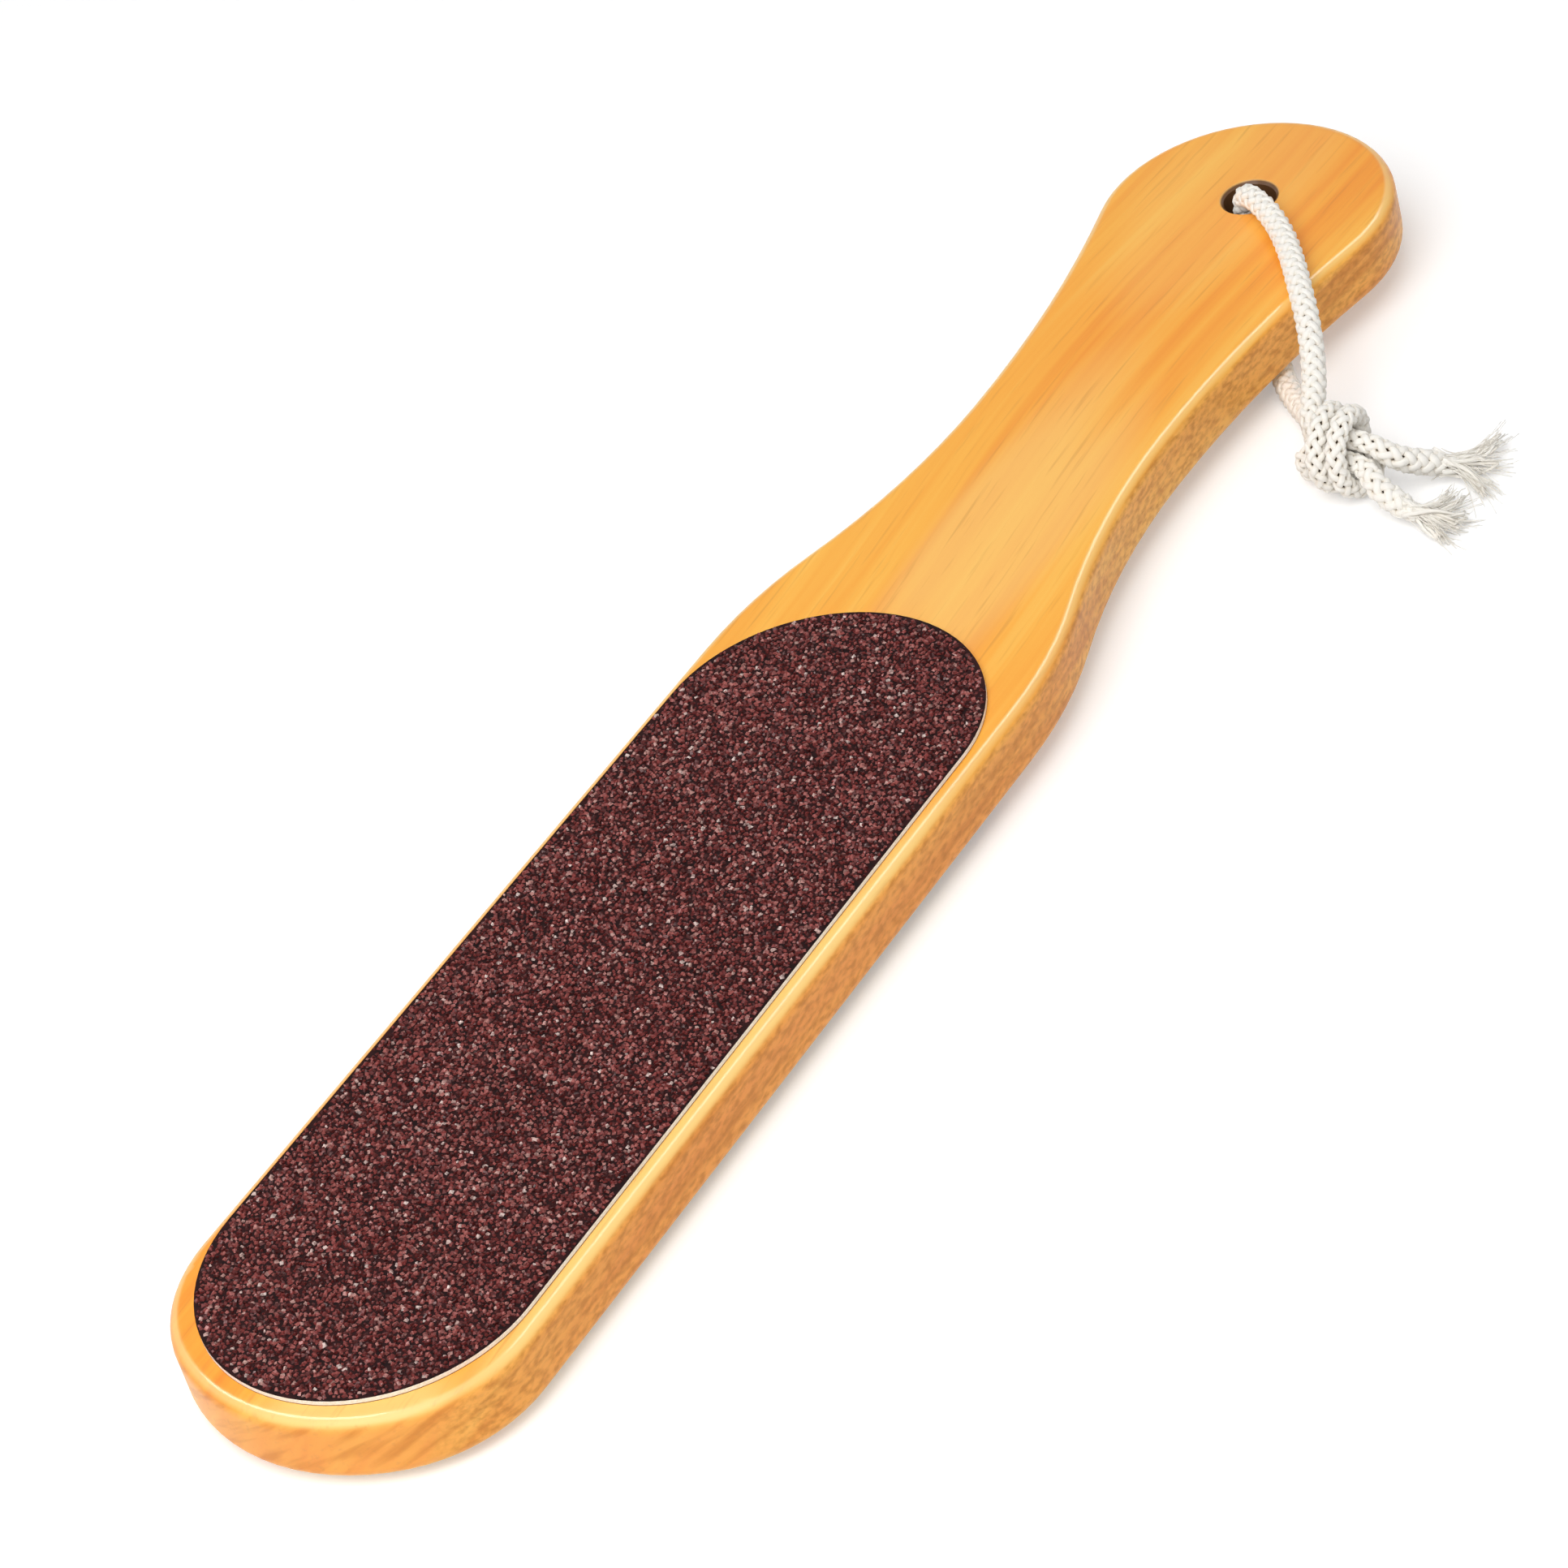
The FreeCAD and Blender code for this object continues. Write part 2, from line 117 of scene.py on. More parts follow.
# the grain isn't quite straight: it sways to each side of the board's length in a long wave
SWAY, SWAY_LENGTH, SWAY_START = 1.7, 130.0, -1.74
spot = add(tree, "ShaderNodeSeparateXYZ", {0: place}).outputs
sway = add(tree, "ShaderNodeMath", {0: spot["X"], 1: 2 * math.pi / (SWAY_LENGTH * MM), 2: SWAY_START},
           operation="MULTIPLY_ADD").outputs[0]
sway = add(tree, "ShaderNodeMath", {0: sway}, operation="SINE").outputs[0]
sway = add(tree, "ShaderNodeMath", {0: sway, 1: -SWAY * MM, 2: spot["Y"]},
           operation="MULTIPLY_ADD").outputs[0]
fibre_run = add(tree, "ShaderNodeCombineXYZ", {"X": spot["X"], "Y": sway, "Z": spot["Z"]}).outputs[0]

# streaks 3 mm through and 12 mm along the slanted growth rings, 150 mm long
grain = add(tree, "ShaderNodeMapping", {"Vector": fibre_run, "Rotation": (0.6, 0.0, 0.0),
                                        "Scale": (150 * MM, 3 * MM, 12 * MM)}, vector_type="TEXTURE")
grain = add(tree, "ShaderNodeTexNoise", {"Vector": grain.outputs[0], "Scale": 1.0, "Detail": 5.0,
                                         "Roughness": 0.55, "Distortion": 0.3})
tone = add(tree, "ShaderNodeValToRGB", {"Fac": grain.outputs["Fac"]}, stops=[
    (0.28, "#F49B34"), (0.44, "#FBAC3D"), (0.58, "#FEB746"), (0.74, "#FFC75A")]).outputs["Color"]

# figure: paler and deeper areas about 20 mm across and 110 mm long
figure = add(tree, "ShaderNodeMapping", {"Vector": fibre_run, "Rotation": (0.0, 0.0, -0.09),
                                         "Scale": (110 * MM, 20 * MM, 20 * MM)}, vector_type="TEXTURE")
figure = add(tree, "ShaderNodeTexNoise", {"Vector": figure.outputs[0], "Scale": 1.0, "Detail": 2.0})
depth = add(tree, "ShaderNodeValToRGB", {"Fac": figure.outputs["Fac"]}, stops=[
    (0.34, "#FBDFB8"), (0.50, "#FEF0DC"), (0.62, "#FFFFFF")]).outputs["Color"]
tone = add(tree, "ShaderNodeMix", {"Factor": 0.8, "A": tone, "B": depth},
           data_type="RGBA", blend_type="MULTIPLY").outputs[2]

# paler patches with wandering edges: sapwood in the neck and at the handle's tip, and a painted highlight
# along the head's right edge and on the toe's right
PATCH_WANDER, PATCH_OUTER, PATCH_INNER = 2.2, 2.25, 1.65
SAPWOOD_AND_PAINTED_HIGHLIGHT = [
    # middle on the board, half its length and width, in mm, and how strongly it shows
    ((166, -3, 0), (35, 13), 0.50),
    # a painted highlight, the gloss on the flat strip by the head's right edge
    ((52, -27, 0), (86, 9), 0.85),
    # a painted highlight on the toe's right
    ((0, -14, 0), (15, 13), 0.85),
    ((240, 6, 0), (26, 15), 0.20),
]
on_face = add(tree, "ShaderNodeMapRange", {"Value": sawn, "To Min": 1.0, "To Max": 0.0}).outputs[0]
for middle, (half_length, half_width), strength in SAPWOOD_AND_PAINTED_HIGHLIGHT:
    pale_patch = add(tree, "ShaderNodeVectorMath", {0: place, 1: laid([middle])[0].tolist()},
              operation="SUBTRACT").outputs[0]
    pale_patch = add(tree, "ShaderNodeVectorMath", {0: pale_patch, 1: (1000 / half_length, 1000 / half_width, 0.0)},
              operation="MULTIPLY").outputs[0]
    pale_patch = add(tree, "ShaderNodeVectorMath", {0: pale_patch}, operation="LENGTH").outputs["Value"]
    pale_patch = add(tree, "ShaderNodeMath", {0: figure.outputs["Fac"], 1: PATCH_WANDER, 2: pale_patch},
              operation="MULTIPLY_ADD").outputs[0]
    pale_patch = add(tree, "ShaderNodeMapRange", {"Value": pale_patch, "From Min": PATCH_OUTER, "From Max": PATCH_INNER,
                                           "To Max": strength}, interpolation_type="SMOOTHSTEP").outputs[0]
    pale_patch = add(tree, "ShaderNodeMath", {0: pale_patch, 1: on_face}, operation="MULTIPLY").outputs[0]
    tone = add(tree, "ShaderNodeMix", {"Factor": pale_patch, "A": tone, "B": srgb("#FFD27A")},
               data_type="RGBA").outputs[2]

# hairlines: pores cut lengthways, 0.35 mm wide and up to 15 mm long
pores = add(tree, "ShaderNodeMapping", {"Vector": fibre_run, "Scale": (15 * MM, 0.7 * MM, 0.7 * MM)},
            vector_type="TEXTURE")
pores = add(tree, "ShaderNodeTexNoise", {"Vector": pores.outputs[0], "Scale": 1.0, "Detail": 2.0})
pore_mask = add(tree, "ShaderNodeMapRange", {
    "Value": pores.outputs["Fac"], "From Min": 0.58, "From Max": 0.74, "To Max": 0.30}).outputs[0]
tone = add(tree, "ShaderNodeMix", {"Factor": pore_mask, "A": tone, "B": srgb("#C97A30")},
           data_type="RGBA").outputs[2]

# sawn edges: peach where the stain sits on cut fibres, streaked along the slanted rings, with fine
# ray flecks on the long sides
peach = add(tree, "ShaderNodeMath", {0: sawn, 1: 0.3}, operation="MULTIPLY").outputs[0]
tone = add(tree, "ShaderNodeMix", {"Factor": peach, "A": tone, "B": srgb("#FFC07E")},
           data_type="RGBA").outputs[2]
rings = add(tree, "ShaderNodeMapping", {"Vector": place, "Rotation": (1.0, 0.0, 0.0),
                                        "Scale": (60 * MM, 1.8 * MM, 12 * MM)}, vector_type="TEXTURE")
rings = add(tree, "ShaderNodeTexNoise", {"Vector": rings.outputs[0], "Scale": 1.0, "Detail": 3.0})
ring_mask = add(tree, "ShaderNodeMapRange", {
    "Value": rings.outputs["Fac"], "From Min": 0.48, "From Max": 0.66, "To Max": 0.62}).outputs[0]
ring_mask = add(tree, "ShaderNodeMath", {0: ring_mask, 1: sawn}, operation="MULTIPLY").outputs[0]
tone = add(tree, "ShaderNodeMix", {"Factor": ring_mask, "A": tone, "B": srgb("#D27F33")},
           data_type="RGBA").outputs[2]
flecks = add(tree, "ShaderNodeMapping", {"Vector": place, "Scale": (1.5 * MM, 0.7 * MM, 0.7 * MM)},
             vector_type="TEXTURE")
flecks = add(tree, "ShaderNodeTexNoise", {"Vector": flecks.outputs[0], "Scale": 1.0, "Detail": 3.0})
fleck_mask = add(tree, "ShaderNodeMapRange", {
    "Value": flecks.outputs["Fac"], "From Min": 0.40, "From Max": 0.66, "To Max": 0.62}).outputs[0]
fleck_mask = add(tree, "ShaderNodeMath", {0: fleck_mask, 1: sawn}, operation="MULTIPLY").outputs[0]
fleck_mask = add(tree, "ShaderNodeMath", {0: fleck_mask, 1: side_on}, operation="MULTIPLY").outputs[0]
tone = add(tree, "ShaderNodeMix", {"Factor": fleck_mask, "A": tone, "B": srgb("#C0742A")},
           data_type="RGBA").outputs[2]

# a painted highlight: a pale band on the rounded edges, strongest near the top of each roundover, that draws
# the gloss line there
painted_edge_highlight = add(tree, "ShaderNodeValToRGB", {"Fac": flatness}, stops=[
    (0.50, "#000000"), (0.80, "#C0C0C0"), (0.93, "#C0C0C0"), (0.985, "#000000")]).outputs["Color"]
tone = add(tree, "ShaderNodeMix", {"Factor": painted_edge_highlight, "A": tone, "B": srgb("#FFDC92")},
           data_type="RGBA").outputs[2]

# the drilled wall of the hole and the inner half of its chamfer are painted dark: bare scorched wood, and
# painted shade of the recess
SCORCH_SHADE_OUTER, SCORCH_SHADE_INNER = HOLE_RADIUS + 0.45, HOLE_RADIUS + 0.25
hole_at = laid([(HOLE_FROM_TOE, 0, 0)])[0]
from_axis = add(tree, "ShaderNodeVectorMath", {0: place, 1: hole_at.tolist()},
                operation="SUBTRACT").outputs[0]
from_axis = add(tree, "ShaderNodeVectorMath", {0: from_axis, 1: (1.0, 1.0, 0.0)},
                operation="MULTIPLY").outputs[0]
from_axis = add(tree, "ShaderNodeVectorMath", {0: from_axis}, operation="LENGTH").outputs["Value"]
scorch_and_shade = add(tree, "ShaderNodeMapRange", {"Value": from_axis, "From Min": MM * SCORCH_SHADE_OUTER,
                                            "From Max": MM * SCORCH_SHADE_INNER}).outputs[0]
tone = add(tree, "ShaderNodeMix", {"Factor": scorch_and_shade, "A": tone, "B": srgb("#6B4A2E")},
           data_type="RGBA").outputs[2]

# the lacquer sinks a little into the pores, and more into the sawn edges, which it leaves duller
PORE_DEPTH = 0.06
relief = add(tree, "ShaderNodeBump", {
    "Height": pores.outputs["Fac"], "Strength": 0.12, "Distance": PORE_DEPTH * MM})
film = add(tree, "ShaderNodeMapRange", {"Value": sawn, "To Min": 0.35, "To Max": 0.18}).outputs[0]
lacquer = add(tree, "ShaderNodeBsdfPrincipled", {
    "Base Color": tone, "Roughness": 0.40, "IOR": 1.5, "Specular IOR Level": 0.10,
    "Normal": relief.outputs[0], "Coat Weight": film, "Coat Roughness": 0.14, "Coat IOR": 1.45,
})
add(tree, "ShaderNodeOutputMaterial", {"Surface": lacquer.outputs[0]})
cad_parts["paddle"].material_slots[0].material = beech


# Pad backing: a die-cut sheet of white foamed vinyl under each coat of grit, stuck to the wood
# with acrylic adhesive. Only its cut edge shows, as a pale line with a dark painted shadow under it.
BACKING_THICKNESS = 0.7
# height and soft upper edge of the painted contact shadow at the foot of the cut edge, in mm
SHADOW_LINE, SHADOW_BLEED = 0.08, 0.06
vinyl, tree = new_material("white_foamed_vinyl")
place = add(tree, "ShaderNodeTexCoord").outputs["Object"]

# height over the board's mid-plane, on either face
middle = laid([(BOARD_LENGTH / 2, 0, 0)])[0]
height = add(tree, "ShaderNodeVectorMath", {0: place, 1: middle.tolist()}, operation="SUBTRACT").outputs[0]
height = add(tree, "ShaderNodeVectorMath", {0: height, 1: (-RISE_SIN, 0.0, RISE_COS)},
             operation="DOT_PRODUCT").outputs["Value"]
height = add(tree, "ShaderNodeMath", {0: height}, operation="ABSOLUTE").outputs[0]
# a dark band painted on the cut edge just over the wood: painted shadow where the backing meets the board
shadow_top = BOARD_THICKNESS / 2 + SHADOW_LINE
painted_contact_shadow = add(tree, "ShaderNodeMapRange", {"Value": height, "From Min": MM * (shadow_top + SHADOW_BLEED),
                                        "From Max": MM * shadow_top}).outputs[0]

# foam cells of 0.15 mm on the cut edge, drawn at twice that to show
CELL_PITCH, CELL_DEPTH = 0.3, 0.1
cells = add(tree, "ShaderNodeTexNoise", {"Vector": place, "Scale": 1000 / CELL_PITCH, "Detail": 2.0})
edge_tone = add(tree, "ShaderNodeValToRGB", {"Fac": cells.outputs["Fac"]}, stops=[
    (0.35, "#F4EEE2"), (0.6, "#FFFEFA")]).outputs["Color"]
edge_tone = add(tree, "ShaderNodeMix", {"Factor": painted_contact_shadow, "A": edge_tone, "B": srgb("#7A4A24")},
                data_type="RGBA").outputs[2]
cell_relief = add(tree, "ShaderNodeBump", {
    "Height": cells.outputs["Fac"], "Strength": 0.3, "Distance": CELL_DEPTH * MM})
vinyl_edge = add(tree, "ShaderNodeBsdfPrincipled", {
    "Base Color": edge_tone, "Roughness": 0.6, "IOR": 1.53, "Normal": cell_relief.outputs[0]})
add(tree, "ShaderNodeOutputMaterial", {"Surface": vinyl_edge.outputs[0]})
for side in ("front", "rear"):
    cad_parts[f"{side}_backing"].material_slots[0].material = vinyl


# Grit coats: coarse garnet grains bedded in dark maroon resin, one coat on each backing sheet.
# Each grain is a broken crystal up to a millimetre wide with a few bright flat faces.
PAD_LENGTH = 142.8
PAD_WIDTH = 43.6
PAD_ARC_STEPS = 40
TOE_CENTRE = PAD_FROM_TOE + PAD_WIDTH / 2
HEEL_CENTRE = PAD_FROM_TOE + PAD_LENGTH - PAD_WIDTH / 2
GRIT_THICKNESS = PAD_THICKNESS - BACKING_THICKNESS
RESIN_BED = 0.10
GRAIN_SPACING = 0.60
GRAIN_CORNERS = 4
# shares of the spacing: how far a grain is shaken off its grid, and its least and greatest reach
GRAIN_SHAKE, GRAIN_LEAST, GRAIN_GREATEST = 0.36, 0.40, 0.82
# shares of the reach: the flat crown's least and greatest size, and how far it is off centre
CROWN_LEAST, CROWN_GREATEST, CROWN_SHIFT = 0.22, 0.62, 0.25
# the crown's usual slope, how far it may stay below the coat's top, and how deep the foot is in resin
CROWN_SLOPE, CROWN_DROP, FOOT_DEPTH = 0.34, 0.14, 0.04
# how far a corner is turned off its even place, in radians, its least and greatest share of the reach,
# and how far a crown's lowest corner stays over the resin
CORNER_TURN, CORNER_LEAST, CORNER_GREATEST, CROWN_CLEARANCE = 0.35, 0.85, 1.15, 0.01
# the width of the resin's darker spots and of the clouds inside a garnet
RESIN_SPOT, GARNET_CLOUD = 1.4, 0.5

# Resin: almost black maroon with a dull shine, seen as the pits between the grains
resin, tree = new_material("maroon_phenolic_resin")
place = add(tree, "ShaderNodeTexCoord").outputs["Object"]
pits = add(tree, "ShaderNodeTexNoise", {"Vector": place, "Scale": 1000 / RESIN_SPOT, "Detail": 2.0})
resin_tone = add(tree, "ShaderNodeValToRGB", {"Fac": pits.outputs["Fac"]}, stops=[
    (0.35, "#160506"), (0.65, "#301011")]).outputs["Color"]
resin_skin = add(tree, "ShaderNodeBsdfPrincipled", {
    "Base Color": resin_tone, "Roughness": 0.5, "IOR": 1.45, "Specular IOR Level": 0.06})
add(tree, "ShaderNodeOutputMaterial", {"Surface": resin_skin.outputs[0]})

# Garnet: dark red-brown crystals, no two alike, with glassy broken faces; the few palest grains are painted
# glints
garnet, tree = new_material("garnet_grains")
place = add(tree, "ShaderNodeTexCoord").outputs["Object"]
own = add(tree, "ShaderNodeAttribute", attribute_name="tone").outputs["Fac"]
# a random tone for each grain; the top stops, near white, make painted glints of the palest few
grain_tone = add(tree, "ShaderNodeValToRGB", {"Fac": own}, stops=[
    (0.0, "#320E0D"), (0.30, "#622423"), (0.62, "#8C403D"), (0.88, "#AC655F"), (0.97, "#C29A91"),
    (1.0, "#EAD6CE")]).outputs["Color"]
clouds = add(tree, "ShaderNodeTexNoise", {"Vector": place, "Scale": 1000 / GARNET_CLOUD, "Detail": 1.0})
clouds = add(tree, "ShaderNodeMapRange", {"Value": clouds.outputs["Fac"], "From Min": 0.42, "From Max": 0.62,
                                          "To Max": 0.6}).outputs[0]
cloudy = add(tree, "ShaderNodeMix", {"Factor": clouds, "A": grain_tone, "B": srgb("#4A1C1A")},
             data_type="RGBA").outputs[2]
garnet_face = add(tree, "ShaderNodeBsdfPrincipled", {
    "Base Color": cloudy, "Roughness": 0.3, "IOR": 1.5, "Specular IOR Level": 0.15})
add(tree, "ShaderNodeOutputMaterial", {"Surface": garnet_face.outputs[0]})


def pad_outline():
    radius = PAD_WIDTH / 2
    turns = np.linspace(-np.pi / 2, np.pi / 2, PAD_ARC_STEPS)
    heel = np.stack([HEEL_CENTRE + radius * np.cos(turns), radius * np.sin(turns)], axis=1)
    toe = np.stack([TOE_CENTRE - radius * np.cos(turns), -radius * np.sin(turns)], axis=1)
    return np.concatenate([heel, toe])


def solid_piece(name, parts, materials, smooth):
    # one object from several (points in metres, faces, material number, tone of each point)
    points, faces, numbers, tones = [], [], [], []
    offset = 0
    for part_points, part_faces, number, tone in parts:
        points.append(part_points)
        faces += [[i + offset for i in face] for face in part_faces]
        numbers += [number] * len(part_faces)
        tones.append(np.broadcast_to(tone, len(part_points)))
        offset += len(part_points)
    mesh = bpy.data.meshes.new(name)
    mesh.from_pydata(np.concatenate(points).tolist(), [], faces)
    for material in materials:
        mesh.materials.append(material)
    mesh.polygons.foreach_set("material_index", numbers)
    mesh.polygons.foreach_set("use_smooth", [smooth] * len(numbers))
    mesh.attributes.new("tone", "FLOAT", "POINT").data.foreach_set("value", np.concatenate(tones))
    piece = bpy.data.objects.new(name, mesh)
    scene.collection.objects.link(piece)
    return piece


def grit_coat(face, seed):
    # face is 1 on the front of the board and -1 on its rear
    dice = np.random.default_rng(seed)
    seat = BOARD_THICKNESS / 2 + BACKING_THICKNESS
    bed = seat + RESIN_BED

    # grain places: a triangular grid, well shaken
    row_step = GRAIN_SPACING * math.sqrt(3) / 2
    across, along = np.meshgrid(
        np.arange(-PAD_WIDTH / 2, PAD_WIDTH / 2, row_step),
        np.arange(PAD_FROM_TOE, PAD_FROM_TOE + PAD_LENGTH, GRAIN_SPACING), indexing="ij")
    along = along + (np.arange(len(along)) % 2)[:, None] * GRAIN_SPACING / 2
    spots = np.stack([along.ravel(), across.ravel()], axis=1)
    spots += dice.uniform(-GRAIN_SHAKE, GRAIN_SHAKE, spots.shape) * GRAIN_SPACING
    size = dice.uniform(GRAIN_LEAST, GRAIN_GREATEST, len(spots)) * GRAIN_SPACING
    spine = np.clip(spots[:, 0], TOE_CENTRE, HEEL_CENTRE)
    inside = np.hypot(spots[:, 0] - spine, spots[:, 1]) + size < PAD_WIDTH / 2
    spots, size = spots[inside], size[inside]
    count = len(spots)

    # each grain: a ring of corners in the resin, a smaller ring on a tilted plane, and the flat between
    turn = 2 * np.pi * (np.arange(GRAIN_CORNERS) / GRAIN_CORNERS + dice.uniform(0, 1, (count, 1)))
    turn = turn + dice.uniform(-CORNER_TURN, CORNER_TURN, turn.shape)
    reach = size[:, None] * dice.uniform(CORNER_LEAST, CORNER_GREATEST, turn.shape)
    foot = np.stack([spots[:, :1] + reach * np.cos(turn), spots[:, 1:] + reach * np.sin(turn),
                     np.full_like(turn, bed - FOOT_DEPTH)], axis=-1)
    crown_share = dice.uniform(CROWN_LEAST, CROWN_GREATEST, (count, 1))
    crown_shift = dice.uniform(-CROWN_SHIFT, CROWN_SHIFT, (count, 2)) * size[:, None]
    crown_x = crown_share * reach * np.cos(turn) + crown_shift[:, :1]
    crown_y = crown_share * reach * np.sin(turn) + crown_shift[:, 1:]
    tilt = dice.normal(0, CROWN_SLOPE, (count, 2))
    rise = tilt[:, :1] * crown_x + tilt[:, 1:] * crown_y
    highest = seat + GRIT_THICKNESS - dice.uniform(0.0, CROWN_DROP, (count, 1))
    crown_z = np.maximum(highest + rise - rise.max(axis=1, keepdims=True), bed + CROWN_CLEARANCE)
    crown = np.stack([spots[:, :1] + crown_x, spots[:, 1:] + crown_y, crown_z], axis=-1)
    grains = np.concatenate([foot, crown], axis=1).reshape(-1, 3)
    first = 2 * GRAIN_CORNERS * np.arange(count)[:, None]
    faces = []
    for corner in range(GRAIN_CORNERS):
        beside = (corner + 1) % GRAIN_CORNERS
        quad = (corner, beside, beside + GRAIN_CORNERS, corner + GRAIN_CORNERS)
        faces += (first + np.array(quad)).tolist()
    faces += (first + GRAIN_CORNERS + np.arange(GRAIN_CORNERS)).tolist()
    tones = np.repeat(dice.uniform(0.0, 1.0, count), 2 * GRAIN_CORNERS)

    # the bed: the sheet's outline, from the backing up to where the grains stand
    rim = pad_outline()
    ring = len(rim)
    bed_points = np.concatenate([np.column_stack([rim, np.full(ring, seat)]),
                                 np.column_stack([rim, np.full(ring, bed)])])
    bed_faces = [[i, (i + 1) % ring, ring + (i + 1) % ring, ring + i] for i in range(ring)]
    bed_faces += [list(range(ring, 2 * ring)), list(range(ring - 1, -1, -1))]

    parts = []
    for points, part_faces, number, tone in ((bed_points, bed_faces, 0, 0.0), (grains, faces, 1, tones)):
        points = points * (1, 1, face)
        if face < 0:
            part_faces = [list(reversed(corners)) for corners in part_faces]
        parts.append((laid(points), part_faces, number, tone))
    return parts


for side, face, seed in (("front", 1, 5), ("rear", -1, 6)):
    coat = solid_piece(f"{side}_grit_coat", grit_coat(face, seed), [resin, garnet], smooth=False)
    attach(coat, "file")
    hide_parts(f"{side}_grit")


# Cord: one length of braided white cotton, threaded through the hole and tied to itself in a double
# overhand knot. It is made here as its two strands, which meet out of sight in the middle of the hole.
CORD_WIDTH = 3.6
# the points that steer its route, in millimetres in the frame of the solids
HOLE_MIDDLE = (110.2, 0.7, 8.7)
FRONT_LEG = [
    HOLE_MIDDLE, (110.2, 0.7, 13.2), (108.7, -1.6, 15.6), (105.0, -7.0, 15.55), (99.2, -12.6, 15.5),
    (90.9, -18.7, 15.4), (84.6, -23.2, 13.6), (79.6, -26.0, 10.9), (75.9, -27.6, 9.4),
]
BACK_LEG = [
    HOLE_MIDDLE, (110.2, 0.7, 4.3), (108.9, -0.6, 2.05), (104.3, -4.4, 1.95), (95.8, -9.8, 1.85),
    (87.4, -15.4, 1.85), (82.0, -20.8, 2.4), (77.0, -26.2, 4.2),
]
KNOT_CENTRE = (70.3, -33.6, 6.15)
KNOT_STRAND, KNOT_PITCH = 2.5, 2.95
LOWER_TAIL = [(66.0, -41.0, 4.4), (65.6, -44.4, 2.4), (64.6, -47.7, 1.8)]
UPPER_TAIL = [(70.2, -41.6, 6.2), (73.4, -44.2, 3.4), (76.0, -47.4, 1.9)]


def knot_point(along, radius, degrees):
    angle = math.radians(degrees)
    x, y, z = KNOT_CENTRE
    return (x + radius * math.cos(angle), y - along, z + radius * math.sin(angle))


def knot_routes():
    # the tied strand goes in beside the straight one, back twice round both, and out beside it
    strand, core = KNOT_STRAND, KNOT_PITCH / math.sqrt(3)
    straight_slot, entry_slot = 80, -40
    far_side = straight_slot + 180
    helix_step, half_helix_points = 46, 7
    turn_radius = (core + KNOT_PITCH) / math.cos(math.radians(helix_step / 2))
    half = [
        # along the knot, out from its axis, and degrees round it: the way in and the turn back
        (-1.85 * strand, core, entry_slot),
        (0.8 * strand, core, entry_slot),
        (1.6 * strand, core + 0.02 * strand, entry_slot - 6),
        (1.95 * strand, core + 0.32 * strand, entry_slot - 38),
        (1.7 * strand, turn_radius - 0.18 * strand, entry_slot - 60),
        (1.15 * strand, turn_radius + 0.03 * strand, entry_slot - 83),
    ]
    for count in range(half_helix_points, 0, -1):
        angle = far_side + helix_step * (count - 0.5)
        half.append((KNOT_PITCH * (angle - far_side) / 360, turn_radius, angle))
    turned = [(-along, radius, 2 * straight_slot - angle) for along, radius, angle in reversed(half)]
    straight = [knot_point(along * strand, core, straight_slot) for along in (-1.7, 2.0)]
    return [knot_point(*spot) for spot in half + turned], straight


def smooth_line(points, spacing):
    # the curve that the route's points control, read at even steps, in millimetres
    curve = bpy.data.curves.new("route", "CURVE")
    curve.dimensions = "3D"
    curve.resolution_u = 32
    spline = curve.splines.new("NURBS")
    spline.points.add(len(points) - 1)
    for control, point in zip(spline.points, points):
        control.co = (*(MM * c for c in point), 1.0)
    spline.order_u = 3
    spline.use_endpoint_u = True
    route = bpy.data.objects.new("route", curve)
    mesh = bpy.data.meshes.new_from_object(route)
    line = np.array([vertex.co for vertex in mesh.vertices]) / MM
    bpy.data.meshes.remove(mesh)
    bpy.data.objects.remove(route)
    bpy.data.curves.remove(curve)
    travelled = np.concatenate([[0], np.cumsum(np.linalg.norm(np.diff(line, axis=0), axis=1))])
    steps = np.linspace(0, travelled[-1], int(round(travelled[-1] / spacing)) + 1)
    return steps, np.stack([np.interp(steps, travelled, line[:, axis]) for axis in range(3)], axis=1)


def unit(vectors):
    return vectors / np.linalg.norm(vectors, axis=-1, keepdims=True)


# a direction that no strand or fibre starts along
START_SIDE = (0.31, 0.87, 0.39)


def sides_of(line):
    # two side directions carried along a line without twisting about it
    ahead = unit(np.gradient(line, axis=0))
    side = np.empty_like(line)
    side[0] = unit(np.cross(ahead[0], START_SIDE))
    for i in range(1, len(line)):
        side[i] = unit(side[i - 1] - ahead[i] * side[i - 1].dot(ahead[i]))
    return side, np.cross(ahead, side)


def swept(line, outward, half_width, half_height, corners, ridge=0.0):
    # a tube of oval section whose height points outward; every second corner stands out as a ridge
    ahead = unit(np.gradient(line, axis=0))
    across = unit(np.cross(ahead, outward))
    lift = np.cross(across, ahead)
    turn = 2 * np.pi * np.arange(corners) / corners
    swell = 1 + ridge * np.where(np.arange(corners) % 2, -1, 1)
    half_width = np.broadcast_to(half_width, len(line))[:, None, None]
    half_height = np.broadcast_to(half_height, len(line))[:, None, None]
    rings = (line[:, None] + half_width * across[:, None] * (np.cos(turn) * swell)[:, None]
             + half_height * lift[:, None] * (np.sin(turn) * swell)[:, None])
    ring, corner = np.meshgrid(np.arange(len(line) - 1), np.arange(corners), indexing="ij")
    beside = (corner + 1) % corners
    quads = np.stack([ring * corners + corner, ring * corners + beside,
                      (ring + 1) * corners + beside, (ring + 1) * corners + corner], axis=-1).reshape(-1, 4)
    last = (len(line) - 1) * corners
    caps = [list(range(corners - 1, -1, -1)), list(range(last, last + corners))]
    return rings.reshape(-1, 3), quads.tolist() + caps


